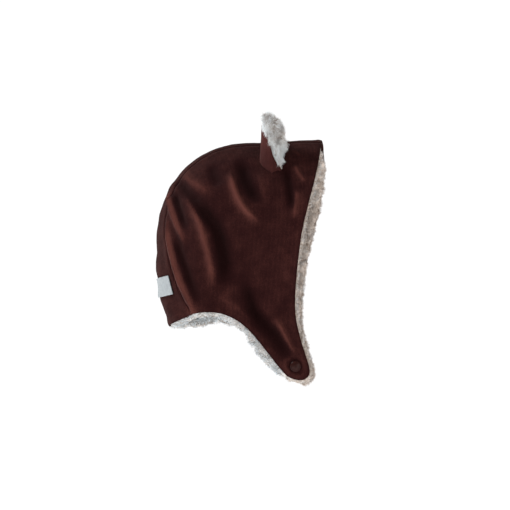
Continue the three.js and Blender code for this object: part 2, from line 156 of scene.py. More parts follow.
# Each fold of a side runs through points (y, z) in millimetres, back to front and down. Its height is
# in millimetres, below zero for a hollow. The two widths are those of its slopes, left and right of it.
FOLDS = [
    # the back: a sharp crease, and the bold roll that runs down to the notch over the nape
    ([(72, -30), (71, -42), (67, -55), (61, -71), (54, -87), (47, -104)], 3.6, 2.4, 5.0),
    ([(64, -40), (59, -54), (53, -70), (47, -88)], -3.0, 3.6, 4.0),
    ([(68, -66), (68, -82), (66, -96), (62, -111), (57, -126), (51, -141), (40, -164), (31, -182)],
     3.4, 3.6, 4.0),
    ([(62, -86), (57, -102), (50, -119), (43, -139), (33, -160)], -2.8, 3.4, 4.6),
    # the middle: a long roll with a deep hollow in front of it
    ([(51, -46), (42, -61), (34, -77), (28, -95), (24, -113), (21, -131), (19, -147)], 3.4, 4.8, 3.0),
    ([(44, -52), (33, -66), (20, -82), (14, -104), (12, -124), (15, -144)], -4.4, 4.2, 8.0),
    ([(62, -30), (52, -40), (42, -52), (30, -60)], -2.4, 4.6, 5.6),
    ([(56, -24), (46, -34), (34, -42), (22, -50)], 1.9, 6.5, 6.5),
    # under the ear: a slanting roll with hollows to each side
    ([(5, -26), (0, -39), (-4, -51), (-9, -62), (-17, -72), (-28, -81)], 4.4, 5.4, 2.4),
    ([(-3, -12), (-8, -27), (-12, -40), (-19, -52), (-32, -62)], -3.6, 4.6, 6.0),
    ([(24, -18), (20, -32), (14, -46)], -1.8, 4.6, 5.6),
    ([(-24, -30), (-28, -44), (-30, -62)], 1.0, 6.0, 6.0),
    # the brow: small folds in front of the ear
    ([(-48, -22), (-53, -36), (-56, -52), (-56, -70)], -2.8, 3.8, 3.4),
    ([(-58, -20), (-62, -28), (-67, -36), (-71, -42)], 2.0, 3.0, 2.4),
    ([(-62, -46), (-61, -60), (-58, -80)], 1.8, 3.2, 4.2),
    ([(-54, -4), (-60, -8), (-65, -14)], 0.9, 1.6, 1.6),
    ([(-76, -34), (-77, -36), (-78, -39)], 0.8, 1.4, 1.4),
    # the flap: a dark hollow that runs to its tip, with a roll in front of it
    ([(-8, -124), (-12, -144), (-18, -164), (-34, -182), (-48, -200), (-57, -212)], -3.2, 6.0, 5.0),
    ([(-36, -166), (-44, -180), (-52, -196), (-60, -208)], 2.6, 5.0, 4.0),
    ([(18, -152), (4, -156), (-8, -166), (-20, -178)], 0.9, 4.0, 5.0),
    ([(-46, -96), (-50, -116), (-49, -140)], 0.7, 8.0, 6.0),
]
CREST_SHARE = 0.3            # how much of a raised fold is its sharp crest, and how wide that is
CREST_WIDTH = 0.3
FOLD_FADE_IN = 0.3           # the shares of its length at which a fold is full, and fades again
FOLD_FADE_OUT = 0.72

# The rest of these are in millimetres.
FOLD_WANDER = 15             # the size of the small bends that break up the folds
FOLDS_BEGIN = 16             # distances from the middle plane at which the folds begin and are full
FOLDS_FULL = 34
FAR_SIDE_SHIFT = 4.5         # how far the folds of the other side wander from these
NOTCH_PUCKER = (41, -166)    # where the back roll ends in a small knot of cloth
PUCKER_HEIGHT = 1.6
PUCKER_WIDTH = 4
SNAP_DIMPLE = (-57.9, -217.1)
DIMPLE_DEPTH = 1.0
DIMPLE_WIDTH = 6
DIMPLE_RIM = 0.7             # the low ring of cloth around the snap
DIMPLE_RIM_AT = 9
DIMPLE_RIM_WIDTH = 2.6


def fold_relief(points):
    """How far the folds lift the cloth at each point, in metres."""
    mm = points / MM
    places = mm[:, 1:].copy()
    left = smooth(mm[:, 0], -6, 6)
    for k, seed in ((0, 3), (1, 4)):
        places[:, k] += left * FAR_SIDE_SHIFT * noise(mm, 34, seed)
    places += noise(mm, FOLD_WANDER, 5)[:, None]
    lift = np.zeros(len(points))
    for path, height, wide_left, wide_right in FOLDS:
        signed, along = beside(curve_through(path), places)
        ends = smooth(along, 0, FOLD_FADE_IN) * (1 - smooth(along, FOLD_FADE_OUT, 1))
        width = np.where(signed > 0, wide_left, wide_right)
        crest = CREST_SHARE if height > 0 else 0
        body = (1 - crest) * bump(signed, width)
        sharp = crest * bump(signed, CREST_WIDTH * width)
        lift += height * ends * (body + sharp)
    on_side = smooth(np.abs(mm[:, 0]), FOLDS_BEGIN, FOLDS_FULL)
    strength = 1 + left * 0.25 * noise(mm, 40, 6)
    lift *= on_side * strength
    knot = np.hypot(places[:, 0] - NOTCH_PUCKER[0], places[:, 1] - NOTCH_PUCKER[1])
    lift += on_side * PUCKER_HEIGHT * bump(knot, PUCKER_WIDTH)
    snap = np.hypot(places[:, 0] - SNAP_DIMPLE[0], places[:, 1] - SNAP_DIMPLE[1])
    dimple = -DIMPLE_DEPTH * bump(snap, DIMPLE_WIDTH)
    rim = DIMPLE_RIM * bump(snap - DIMPLE_RIM_AT, DIMPLE_RIM_WIDTH)
    lift += on_side * (dimple + rim)
    return lift * MM


NAPE_ROLL = 0.9              # millimetres
NAPE_ROLL_LENGTH = 5.2 * MM
NAPE_LOW = -0.13             # the rolls are full below this height, and gone above the next
NAPE_HIGH = -0.06


def broad_relief(points):
    """The slack of the whole hat, and a few rolls across the nape."""
    lift = 0.9 * noise(points, 34 * MM, 11) + 0.45 * noise(points, 17 * MM, 12)
    near_middle = 1 - smooth(np.abs(points[:, 0]), 24 * MM, 40 * MM)
    behind = smooth(points[:, 1], 30 * MM, 66 * MM) * near_middle
    low = 1 - smooth(points[:, 2], NAPE_LOW, NAPE_HIGH)
    across = np.sin(points[:, 2] / NAPE_ROLL_LENGTH + 1.6 * noise(points, 26 * MM, 13))
    lift += behind * low * NAPE_ROLL * across
    lift += behind * 0.6 * noise(points, (30 * MM, 30 * MM, 9 * MM), 14)
    return lift * MM


def outward(points):
    """The direction away from the head at each point."""
    d = points - HEAD_MIDDLE
    reach = np.where(d[:, 1] > 0, HEAD_BACK, HEAD_FRONT)
    n = np.stack([d[:, 0] / HEAD_SIDE**2, d[:, 1] / reach**2, np.maximum(d[:, 2], 0) / HEAD_TOP**2], axis=1)
    return n / np.maximum(np.linalg.norm(n, axis=1), 1e-9)[:, None]


def draped(points):
    """The points of cloth or fleece, moved by the folds that the two share."""
    return points + outward(points) * (fold_relief(points) + broad_relief(points))[:, None]


# ---------------------------------------------------------------- mesh tools

def coords(mesh):
    co = np.zeros(len(mesh.vertices) * 3, np.float32)
    mesh.vertices.foreach_get("co", co)
    return co.reshape(-1, 3).astype(float)


def set_coords(mesh, co):
    mesh.vertices.foreach_set("co", co.astype(np.float32).ravel())
    mesh.update()


def normals(mesh):
    n = np.zeros(len(mesh.vertices) * 3, np.float32)
    mesh.vertex_normals.foreach_get("vector", n)
    return n.reshape(-1, 3).astype(float)


def place_on_mesh(mesh, name, values):
    """Stores a number for each vertex, which a material can read."""
    mesh.attributes.new(name, "FLOAT", "POINT").data.foreach_set("value", values.astype(np.float32))


def add_object(name, mesh):
    obj = bpy.data.objects.new(name, mesh)
    bpy.context.scene.collection.objects.link(obj)
    return obj


def quads_of(node):
    """A CAD node as a bmesh with its corners joined and its pairs of triangles made quads."""
    bm = bmesh.new()
    bm.from_mesh(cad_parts[node].data)
    bmesh.ops.remove_doubles(bm, verts=bm.verts, dist=1e-6)
    bmesh.ops.join_triangles(
        bm, faces=bm.faces[:], angle_face_threshold=0.9, angle_shape_threshold=1.2
    )
    bm.normal_update()
    return bm


def only_outer_skin(bm):
    """Deletes all of a thin shell but its outward skin."""
    tree = BVHTree.FromBMesh(bm)
    middle = Vector(HEAD_MIDDLE)
    drop = []
    for face in bm.faces:
        at = face.calc_center_median()
        hit = tree.ray_cast(at - face.normal * 1e-5, -face.normal, 2.5 * MM)
        if hit[0] is None or face.normal.dot(at - middle) < 0:
            drop.append(face)
    bmesh.ops.delete(bm, geom=drop, context="FACES")


def keep_sharp(bm, angle, hold):
    """Holds the edges that turn by more than an angle, so that rounding leaves them nearly sharp."""
    crease = bm.edges.layers.float.new("crease_edge")
    for edge in bm.edges:
        if len(edge.link_faces) == 2 and edge.calc_face_angle() > angle:
            edge[crease] = hold


def refined(bm, name, levels):
    """A new mesh: bm with subdivided, rounded faces, and the corners of open edges kept."""
    mesh = bpy.data.meshes.new(name + "_cage")
    bm.to_mesh(mesh)
    bm.free()
    return modified(mesh, name, lambda obj: add_levels(obj, levels))


def add_levels(obj, levels):
    m = obj.modifiers.new("levels", "SUBSURF")
    m.levels = m.render_levels = levels
    m.boundary_smooth = "PRESERVE_CORNERS"


def add_thickness(obj, thickness):
    m = obj.modifiers.new("thickness", "SOLIDIFY")
    m.thickness = thickness
    m.offset = -1
    m.use_even_offset = False


def modified(mesh, name, add):
    """A mesh with modifiers applied, which add puts on a passing object."""
    obj = add_object(name + "_passing", mesh)
    add(obj)
    bpy.context.view_layer.update()
    done = bpy.data.meshes.new_from_object(obj.evaluated_get(bpy.context.evaluated_depsgraph_get()))
    bpy.data.objects.remove(obj)
    bpy.data.meshes.remove(mesh)
    done.name = name
    return done


def soften(mesh):
    mesh.polygons.foreach_set("use_smooth", np.ones(len(mesh.polygons), bool))
    mesh.update()


def edge_line(mesh):
    """The vertices along a mesh's open edges."""
    bm = bmesh.new()
    bm.from_mesh(mesh)
    found = sorted({v.index for e in bm.edges if e.is_boundary for v in e.verts})
    bm.free()
    return np.array(found, int)


def tree_of(points):
    tree = KDTree(len(points))
    for i, p in enumerate(points):
        tree.insert(p, i)
    tree.balance()
    return tree


def surface_tree(objects):
    """One search tree over the surfaces of several mesh objects."""
    points, faces, start = [], [], 0
    for obj in objects:
        co = coords(obj.data)
        points.append(co)
        faces += [tuple(start + v for v in p.vertices) for p in obj.data.polygons]
        start += len(co)
    return BVHTree.FromPolygons(np.vstack(points).tolist(), faces)


# ---------------------------------------------------------------- materials

def new_material(name):
    """A material with its shader, and short ways to add and join nodes."""
    material = bpy.data.materials.new(name)
    material.use_nodes = True
    tree = material.node_tree
    shader = tree.nodes["Principled BSDF"]

    def node(kind, **settings):
        n = tree.nodes.new("ShaderNode" + kind)
        for key, value in settings.items():
            if key in n.inputs:
                n.inputs[key].default_value = value
            else:
                setattr(n, key, value)
        return n

    return material, shader, node, tree.links.new


def colour_steps(node, *steps):
    """A colour ramp from (place, colour) pairs."""
    ramp = node("ValToRGB")
    elements = ramp.color_ramp.elements
    elements[0].position, elements[0].color = steps[0][0], (*steps[0][1], 1)
    elements[1].position, elements[1].color = steps[-1][0], (*steps[-1][1], 1)
    for place, colour in steps[1:-1]:
        elements.new(place).color = (*colour, 1)
    return ramp


def weighted(node, join, value, share, base):
    """The output of value times share, plus base."""
    add = node("Math", operation="MULTIPLY_ADD")
    join(value, add.inputs[0])
    add.inputs[1].default_value = share
    join(base, add.inputs[2])
    return add.outputs[0]


def tinted(join, tint, value, shader):
    """Colours the shader by a value, through a colour ramp."""
    join(value, tint.inputs["Fac"])
    join(tint.outputs["Color"], shader.inputs["Base Color"])


def pressed(node, join, height, strength, depth, shader):
    """Gives the shader the relief that is too fine to be modelled."""
    press = node("Bump", Strength=strength, Distance=depth)
    join(height, press.inputs["Height"])
    join(press.outputs["Normal"], shader.inputs["Normal"])


def placed(node, join, *textures):
    """Lays textures out in the space of the object."""
    place = node("TexCoord")
    for texture in textures:
        join(place.outputs["Object"], texture.inputs["Vector"])


def set_inputs(n, values):
    for name, value in values.items():
        n.inputs[name].default_value = value


# How much each texture of the knit adds to its tone, and to its relief beside the nap's.
PATCH_TONE = 0.42
NAP_TONE = 0.4
WALE_TONE = 0.2
FULL_TONE = 1.6
WALE_RELIEF = 0.55
ROW_RELIEF = 0.25


def knit_material(name, across, deep, mid, high):
    """Brushed knit: fine upright wales, a soft nap that catches light, and painted shade in the hollows of
    the folds with painted highlight on their ridges.
    """
    material, shader, node, join = new_material(name)
    wales = node("TexWave", bands_direction=across, Scale=250.0, Distortion=1.6, Detail=2.0)
    rows = node("TexWave", bands_direction="Z", Scale=210.0, Distortion=2.4, Detail=2.0)
    nap = node("TexNoise", Scale=900.0, Detail=3.0, Roughness=0.7)
    patches = node("TexNoise", Scale=70.0, Detail=4.0, Roughness=0.6)
    placed(node, join, wales, rows, nap, patches)

    # Painted shade and highlight: this tone darkens the cloth in the hollows of its folds and seams and
    # lightens it on their ridges.
    painted_light_tone = node("Attribute", attribute_name="painted_light_tone")
    patched = weighted(node, join, patches.outputs["Fac"], PATCH_TONE, painted_light_tone.outputs["Fac"])
    napped = weighted(node, join, nap.outputs["Fac"], NAP_TONE, patched)
    waled = weighted(node, join, wales.outputs["Fac"], WALE_TONE, napped)
    shift = node("MapRange")
    shift.inputs["From Max"].default_value = FULL_TONE
    join(waled, shift.inputs["Value"])
    tint = colour_steps(node, (0.22, deep), (0.56, mid), (0.88, high))
    tinted(join, tint, shift.outputs[0], shader)

    grain = weighted(node, join, wales.outputs["Fac"], WALE_RELIEF, nap.outputs["Fac"])
    grained = weighted(node, join, rows.outputs["Fac"], ROW_RELIEF, grain)
    pressed(node, join, grained, 0.55, 0.4 * MM, shader)
    set_inputs(shader, {
        "Roughness": 0.88,
        "Specular IOR Level": 0.03,
        "Sheen Weight": 0.06,
        "Sheen Roughness": 0.42,
        "Sheen Tint": (1.0, 0.62, 0.56, 1),
    })
    return material


def fleece_material(name, root, body, tip, patch_scale):
    """Curly pile: darker among its roots, partly its own tan base and partly painted shade, paler at its
    tips, a little darker and paler in patches.
    """
    material, shader, node, join = new_material(name)
    patches = node("TexNoise", Scale=patch_scale, Detail=3.0, Roughness=0.6)
    curls = node("TexNoise", Scale=1300.0, Detail=3.0, Roughness=0.6, Distortion=0.6)
    placed(node, join, patches, curls)
    height = node("Attribute", attribute_name="pile")
    mixed = weighted(node, join, patches.outputs["Fac"], 0.35, height.outputs["Fac"])
    tint = colour_steps(node, (0.1, root), (0.62, body), (1.0, tip))
    tinted(join, tint, mixed, shader)
    pressed(node, join, curls.outputs["Fac"], 0.5, 0.5 * MM, shader)
    set_inputs(shader, {
        "Roughness": 0.9,
        "Specular IOR Level": 0.15,
        "Sheen Weight": 0.25,
        "Sheen Roughness": 0.5,
    })
    return material


def label_material(dark, pale):
    """Pale woven tape with nothing on it."""
    material, shader, node, join = new_material("label_tape")
    warp = node("TexWave", bands_direction="Y", Scale=520.0, Distortion=0.4)
    weft = node("TexWave", bands_direction="Z", Scale=420.0, Distortion=0.4)
    cast = node("TexNoise", Scale=260.0, Detail=3.0)
    placed(node, join, warp, weft, cast)
    weave = node("Math", operation="MULTIPLY")
    join(warp.outputs["Fac"], weave.inputs[0])
    join(weft.outputs["Fac"], weave.inputs[1])
    tint = colour_steps(node, (0.25, dark), (0.75, pale))
    tinted(join, tint, cast.outputs["Fac"], shader)
    pressed(node, join, weave.outputs[0], 0.5, 0.2 * MM, shader)
    set_inputs(shader, {"Roughness": 0.55, "Sheen Weight": 0.2})
    return material


def snap_material(dark, pale):
    """Moulded snap: dark brown, glossy, with a faint bloom of fine scratches."""
    material, shader, node, join = new_material("snap_plastic")
    bloom = node("TexNoise", Scale=420.0, Detail=4.0)
    placed(node, join, bloom)
    tint = colour_steps(node, (0.3, dark), (0.8, pale))
    tinted(join, tint, bloom.outputs["Fac"], shader)
    dull = node("MapRange")
    set_inputs(dull, {"To Min": 0.18, "To Max": 0.3})
    join(bloom.outputs["Fac"], dull.inputs["Value"])
    join(dull.outputs[0], shader.inputs["Roughness"])
    set_inputs(shader, {"Specular IOR Level": 0.1})
    return material


# The cloth's colour with painted shade in its hollows, between them, and with painted highlight on its
# ridges.
KNIT_COLOURS = ((0.0064, 0.0016, 0.0016), (0.0180, 0.0046, 0.0047), (0.0980, 0.0320, 0.0255))
# The ear's back is the same knit, painted paler as if lit.
EAR_PAINTED_LIT_COLOURS = ((0.012, 0.0034, 0.0032), (0.045, 0.0135, 0.0125), (0.105, 0.036, 0.032))
# The pile's colour at its roots, along it and at its tips: the dark roots are partly the pile's own tan
# base and partly painted shade among the roots, and the cool tint of the tips is painted light.
FLEECE_COLOURS = ((0.27, 0.195, 0.145), (0.69, 0.61, 0.545), (0.60, 0.645, 0.67))
EAR_FLEECE_COLOURS = ((0.24, 0.15, 0.09), (0.74, 0.71, 0.68), (0.96, 0.99, 1.0))
FLEECE_PATCHES = 55.0
EAR_FLEECE_PATCHES = 90.0
# The darkest and palest of the label and of the snaps.
LABEL_COLOURS = ((0.25, 0.275, 0.285), (0.34, 0.37, 0.38))
SNAP_COLOURS = ((0.018, 0.0048, 0.0040), (0.036, 0.0105, 0.0085))

CLOTH_SIDE = knit_material("knit_side", "Y", *KNIT_COLOURS)
CLOTH_CROWN = knit_material("knit_crown", "X", *KNIT_COLOURS)
CLOTH_EAR = knit_material("knit_ear_painted_lit", "Y", *EAR_PAINTED_LIT_COLOURS)
FLEECE = fleece_material("fleece", *FLEECE_COLOURS, FLEECE_PATCHES)
EAR_FLEECE = fleece_material("ear_fleece", *EAR_FLEECE_COLOURS, EAR_FLEECE_PATCHES)
LABEL = label_material(*LABEL_COLOURS)
SNAP = snap_material(*SNAP_COLOURS)


# ---------------------------------------------------------------- the cloth outside

# The rectangle that each panel is cut from, and the area of the cut.
PANEL_CUTS = {
    "crown_panel": ((0.088, 0.315), 0.0212),
    "side_panel_right": ((0.175, 0.27), 0.0264),
    "side_panel_left": ((0.175, 0.27), 0.0264),
}
PANELS = tuple(PANEL_CUTS)

WRINKLE = 0.22 * MM
FINE_WRINKLE = 0.1 * MM
FLAT_TONE = 0.4              # the painted tone of flat cloth, and how much painted highlight a millimetre of raised fold or seam adds, painted shade where they sink
FOLD_PAINTED_LIGHT = 0.155
SEAM_PAINTED_LIGHT = 0.1


def panel_skins():
    """The refined outward skins of the three panels, before they are sewn."""
    skins = {}
    for node in PANELS:
        bm = quads_of(node)
        only_outer_skin(bm)
        skins[node] = refined(bm, node + "_cloth", PANEL_LEVELS)
    return skins


def sewn(skins):
    """Closes the gaps where two panels meet, and gives each panel's distance from its edges."""
    edges = {n: edge_line(m) for n, m in skins.items()}
    points = {n: coords(m) for n, m in skins.items()}
    lines = {n: points[n][edges[n]] for n in skins}
    trees = {n: tree_of(lines[n]) for n in skins}
    moved = {n: p.copy() for n, p in points.items()}
    for n in skins:
        for i in edges[n]:
            for other in skins:
                if other == n:
                    continue
                near, _, far = trees[other].find(points[n][i])
                if far < SEAM_REACH:
                    moved[n][i] = (points[n][i] + np.array(near)) / 2
    from_edge = {}
    for n in skins:
        from_edge[n] = np.array([trees[n].find(p)[2] for p in points[n]])
    return moved, from_edge


def edge_relief(from_edge, points):
    """The cloth turns in at its edges, and puffs and puckers a little beside them."""
    puckers = 1 + 0.7 * noise(points, 5 * MM, 17)
    return (
        -SEAM_DEPTH * bump(from_edge, SEAM_WIDTH)
        + SEAM_PUFF * puckers * bump(from_edge - SEAM_PUFF_AT, SEAM_PUFF_WIDTH)
    )


def make_panel(node, skin, points, from_edge):
    """One panel of cloth: its skin, folded and given a thickness inward."""
    drape = fold_relief(points) + broad_relief(points)
    fine = WRINKLE * noise(points, 7 * MM, 21) + FINE_WRINKLE * noise(points, 3 * MM, 22)
    turn_in = edge_relief(from_edge, points)
    points = points + outward(points) * (drape + fine + turn_in)[:, None]
    set_coords(skin, points)
    # Painted shade and highlight: the cloth is coloured darker where its folds and seams sink and lighter
    # where they rise.
    height = fold_relief(points) / MM
    tone = FLAT_TONE + FOLD_PAINTED_LIGHT * height + SEAM_PAINTED_LIGHT * turn_in / MM
    place_on_mesh(skin, "painted_light_tone", np.clip(tone, -0.1, 1.1))
    soften(skin)
    mesh = modified(skin, node + "_cloth", lambda obj: add_thickness(obj, CLOTH))
    soften(mesh)
    obj = add_object(node + "_cloth", mesh)
    mesh.materials.clear()
    mesh.materials.append(CLOTH_CROWN if node == "crown_panel" else CLOTH_SIDE)
    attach(obj, "root")
    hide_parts(node)
    return obj


def make_panels():
    skins = panel_skins()
    moved, from_edge = sewn(skins)
    return {n: make_panel(n, skins[n], moved[n], from_edge[n]) for n in PANELS}


# ---------------------------------------------------------------- pile

BLADE_PART = 0.55            # the share of a blade's length in each of its two parts
BLADE_TAPER = 0.8
BLADE_TONES = (0.05, 0.05, 0.5, 0.5, 0.78)   # the tone at its two root corners, its two knees and its tip; low at the roots, partly for painted shade among them


def mesh_from(name, points, faces):
    """A mesh of points and of arrays of faces, each array with as many corners a face as it has columns."""
    mesh = bpy.data.meshes.new(name)
    loops = sum(f.size for f in faces)
    mesh.vertices.add(len(points))
    mesh.vertices.foreach_set("co", points.astype(np.float32).ravel())
    mesh.loops.add(loops)
    mesh.loops.foreach_set("vertex_index", np.concatenate([f.ravel() for f in faces]).astype(np.int32))
    sizes = np.concatenate([np.full(len(f), f.shape[1]) for f in faces])
    mesh.polygons.add(len(sizes))
    mesh.polygons.foreach_set("loop_start", np.concatenate([[0], np.cumsum(sizes)[:-1]]).astype(np.int32))
    mesh.update(calc_edges=True)
    mesh.validate()
    return mesh


def unit(v):
    return v / np.maximum(np.linalg.norm(v, axis=1), 1e-9)[:, None]


def roots_on(mesh, weights, count):
    """Points spread over a mesh's faces by area times weight, with the faces' smooth normals."""
    mesh.calc_loop_triangles()
    tri = np.zeros(len(mesh.loop_triangles) * 3, np.int32)
    mesh.loop_triangles.foreach_get("vertices", tri)
    owner = np.zeros(len(mesh.loop_triangles), np.int32)
    mesh.loop_triangles.foreach_get("polygon_index", owner)
    tri = tri.reshape(-1, 3)
    co = coords(mesh)
    n = normals(mesh)
    a, b, c = (co[tri[:, k]] for k in range(3))
    area = np.linalg.norm(np.cross(b - a, c - a), axis=1) * weights[owner]
    pick = rng.choice(len(tri), count, p=area / area.sum())
    u, v = rng.random((2, count, 1))
    flip = u + v > 1
    u, v = np.where(flip, 1 - u, u), np.where(flip, 1 - v, v)
    at = a[pick] + u * (b[pick] - a[pick]) + v * (c[pick] - a[pick])
    na, nb, nc = (n[tri[pick, k]] for k in range(3))
    return at, unit(na + u * (nb - na) + v * (nc - na))


def knee_and_tip(root, first, second, length):
    """Where blades bend, and where they end."""
    knee = root + first * (BLADE_PART * length)[:, None]
    return knee, knee + second * (BLADE_PART * length)[:, None]


def blades(name, root, first, second, length, width, tone, material):
    """Pile as flat curved blades: each rises along first, then bends to second, and ends in a point."""
    count = len(root)
    side = unit(np.cross(first, unit(rng.normal(size=(count, 3)))))
    half = (width / 2)[:, None] * side
    knee, tip = knee_and_tip(root, first, second, length)
    bend = BLADE_TAPER * half
    points = np.stack([root - half, root + half, knee + bend, knee - bend, tip], axis=1)
    start = np.arange(count)[:, None] * len(BLADE_TONES)
    quads = start + np.array([0, 1, 2, 3])
    tips = start + np.array([3, 2, 4])
    mesh = mesh_from(name, points.reshape(-1, 3), [quads, tips])
    shade = np.tile(BLADE_TONES, (count, 1)) + tone[:, None]
    place_on_mesh(mesh, "pile", shade.ravel())
    soften(mesh)
    mesh.materials.append(material)
    return add_object(name, mesh)


def clear_of(cover, root, first, second, length):
    """Which blades have no cloth on the straight way from their root to their tip."""
    _, tip = knee_and_tip(root, first, second, length)
    path = tip - root
    far = np.linalg.norm(path, axis=1)
    start = root + 0.02 * MM * first
    hits = [cover.ray_cast(a, d, f)[0] for a, d, f in zip(start.tolist(), path.tolist(), far)]
    return np.array([hit is None for hit in hits])


def lumps(points, size, seed):
    """Rounded curls, from 0 between them to 1 on top."""
    return 1 - np.abs(noise(points, size, seed))


def curl(points, size, seed):
    """A direction for each point, which its neighbours within about size share."""
    return np.stack([noise(points, size, seed + axis) for axis in range(3)], axis=1)


# ---------------------------------------------------------------- the fleece inside

LINING_LEVELS = 2
LINING_OUTWARD = 0.55        # where the fleece faces away from the head more than this, cloth lies on it
UNDER_CLOTH = -0.15          # how far the fleece rises there, in millimetres
BROW_SETBACK = 4 * MM
BROW_SHORTENING = 0.65       # how much of its length the pile loses at the brow's edge
BAND_SWELL = 4 * MM
BAND_AT = (-26.5, -199)      # the middle of a flap's rear edge, y and z in millimetres
LINING_BLADES = 147000
BLADES_PER_PIECE = 49000


def uncovered(mesh, cover, reach):
    """1 for each face with nothing of cover within reach in front of it, 0 for the others."""
    weights = np.ones(len(mesh.polygons))
    for i, face in enumerate(mesh.polygons):
        if cover.ray_cast(face.center, face.normal, reach)[0] is not None:
            weights[i] = 0
    return weights


def brow_edge(points):
    """1 at the front edge of the brow, where the fleece is set back and short, fading to 0 away from it."""
    y, z = points[:, 1] / MM, points[:, 2] / MM
    return (1 - smooth(y, -80, -66)) * smooth(z, -8, -2)


def swell_of_band(points):
    """How far the fleece spreads down and back from the rear edge of a flap, as moves of the points."""
    y, z = points[:, 1] / MM, points[:, 2] / MM
    off = 0.8 * (y - BAND_AT[0]) - 0.6 * (z - BAND_AT[1])
    along = -0.6 * (y - BAND_AT[0]) - 0.8 * (z - BAND_AT[1])
    share = smooth(off, -3, 2) * smooth(along, -24, -4) * (1 - smooth(along, 16, 32))
    return share[:, None] * np.array([0, 0.8, -0.6]) * BAND_SWELL


def arch_painted_light(points):
    """1 along the arch behind the flaps, where the fleece is painted paler as if lit, fading to 0 away from
    it.
    """
    y, z = points[:, 1] / MM, points[:, 2] / MM
    line = -163 - 1.25 * np.maximum(-y - 4, 0)
    return smooth(y, -60, -40) * (1 - smooth(z - line, 4, 22))


def make_lining_base():
    """The base of the fleece lining, lumpy where no cloth lies on it."""
    mesh = refined(quads_of("lining"), "lining_base", LINING_LEVELS)
    points = draped(coords(mesh))
    points[:, 1] += BROW_SETBACK * brow_edge(points)
    points += swell_of_band(points)
    set_coords(mesh, points)
    n = normals(mesh)
    bare = (n * outward(points)).sum(1) < LINING_OUTWARD
    rise = 1.5 * lumps(points, 8 * MM, 31) + 0.6 * lumps(points, 3.4 * MM, 32) - 1.3
    rise = np.where(bare, rise, UNDER_CLOTH) * MM
    set_coords(mesh, points + n * rise[:, None])
    # Painted shade and light: the base is coloured darker in the hollows between its lumps, and paler along
    # the arch as if lit.
    place_on_mesh(mesh, "pile", np.clip(0.35 + 0.3 * rise / MM + 0.35 * arch_painted_light(points), 0, 1))
    soften(mesh)
    base = add_object("lining_base", mesh)
    mesh.materials.clear()
    mesh.materials.append(FLEECE)
    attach(base, "root")
    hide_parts("lining")
    return base


def make_lining_pile(name, mesh, weights, cover):
    """One piece of the lining's curly pile."""
    root, up = roots_on(mesh, weights, BLADES_PER_PIECE)
    clump = curl(root, 4.6 * MM, 41)
    swirl = curl(root, 2.1 * MM, 51)
    jitter = rng.normal(scale=0.28, size=root.shape)
    first = unit(up + 1.2 * clump + 0.5 * swirl + jitter)
    second = unit(0.3 * up + 2.0 * clump + 1.2 * swirl + 1.3 * jitter + np.array([0, 0, -0.3]))
    tall = 0.75 + 0.5 * lumps(root, 5.5 * MM, 47)
    full = tall * (2.2 + 1.6 * rng.random(len(root))) * MM
    length = full * (1 - BROW_SHORTENING * brow_edge(root))
    width = (0.26 + 0.22 * rng.random(len(root))) * MM
    # The tone varies at random, and is painted paler along the arch as if lit.
    tone = 0.15 * noise(root, 5 * MM, 48) + 0.11 * rng.normal(size=len(root)) + 0.26 * arch_painted_light(root)
    keep = clear_of(cover, root, first, second, length)
    blade = [v[keep] for v in (root, first, second, length, width, tone)]
    piece = blades(name, *blade, FLEECE)
    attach(piece, "root")
    return piece


def make_lining(cover):
    """The fleece lining: its base, and its pile wherever no cloth covers it."""
    base = make_lining_base()
    weights = uncovered(base.data, cover, COVER_REACH)
    pile = [
        make_lining_pile(f"lining_pile_{k + 1}", base.data, weights, cover)
        for k in range(LINING_BLADES // BLADES_PER_PIECE)
    ]


# ---------------------------------------------------------------- the ears

EAR_LEVELS = 3
EAR_FLEECE_LEVELS = 2
EAR_BLADES = 22000
EAR_FOOT_DROP = 7 * MM
EAR_COVER_REACH = 3 * MM     # ear fleece with its own cloth nearer than this needs no pile
EAR_BARE_FOOT = 7 * MM       # the height from the ear's foot in which no pile grows
EAR_LOCKS = (3 * MM, 3 * MM, 7 * MM)


BESIDE_HAT = 0.2             # well outside the hat, in metres from the middle plane


def side_at(cover, points, sign):
    """Where the hat's side lies across from each point, as x; the point's own x where there is none."""
    found = points[:, 0].copy()
    for i, (_, y, z) in enumerate(points.tolist()):
        hit = cover.ray_cast((sign * BESIDE_HAT, y, z), (-sign, 0, 0))[0]
        if hit is not None:
            found[i] = hit.x
    return found


def foot_drawn_down(points, cover, sign):
    """The rear of the ear's foot, drawn down along the side of the hat."""
    y, z = points[:, 1] / MM, points[:, 2] / MM
    share = smooth(y, -47, -36) * (1 - smooth(z, -13, 6))
    lower = points.copy()
    lower[:, 2] -= EAR_FOOT_DROP * share
    lower[:, 0] += share * (side_at(cover, lower, sign) - side_at(cover, points, sign))
    return lower


def make_ear_cloth(side, sign, cover, low, high):
    """The ear's curled cloth back, paler towards its tip: a paler copy of the knit as if lit, with painted
    shade at its foot against the hat.
    """
    mesh = refined(quads_of("ear_back_" + side), "ear_cloth_" + side, EAR_LEVELS)
    points = coords(mesh)
    n = normals(mesh)
    fine = 0.3 * noise(points, 8 * MM, 61) + 0.16 * noise(points, 3 * MM, 62)
    points = foot_drawn_down(points, cover, sign)
    set_coords(mesh, points + n * (fine * MM)[:, None])
    height = (points[:, 2] - low.z) / (high.z - low.z)
    # Painted light: the ear's cloth is darker at its foot, where shade falls, and paler towards its tip.
    place_on_mesh(mesh, "painted_light_tone", 0.3 + 0.35 * smooth(height, 0.1, 0.8))
    soften(mesh)
    cloth = add_object("ear_cloth_" + side, mesh)
    mesh.materials.clear()
    mesh.materials.append(CLOTH_EAR)
    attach(cloth, "root")
    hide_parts("ear_back_" + side)
    return cloth


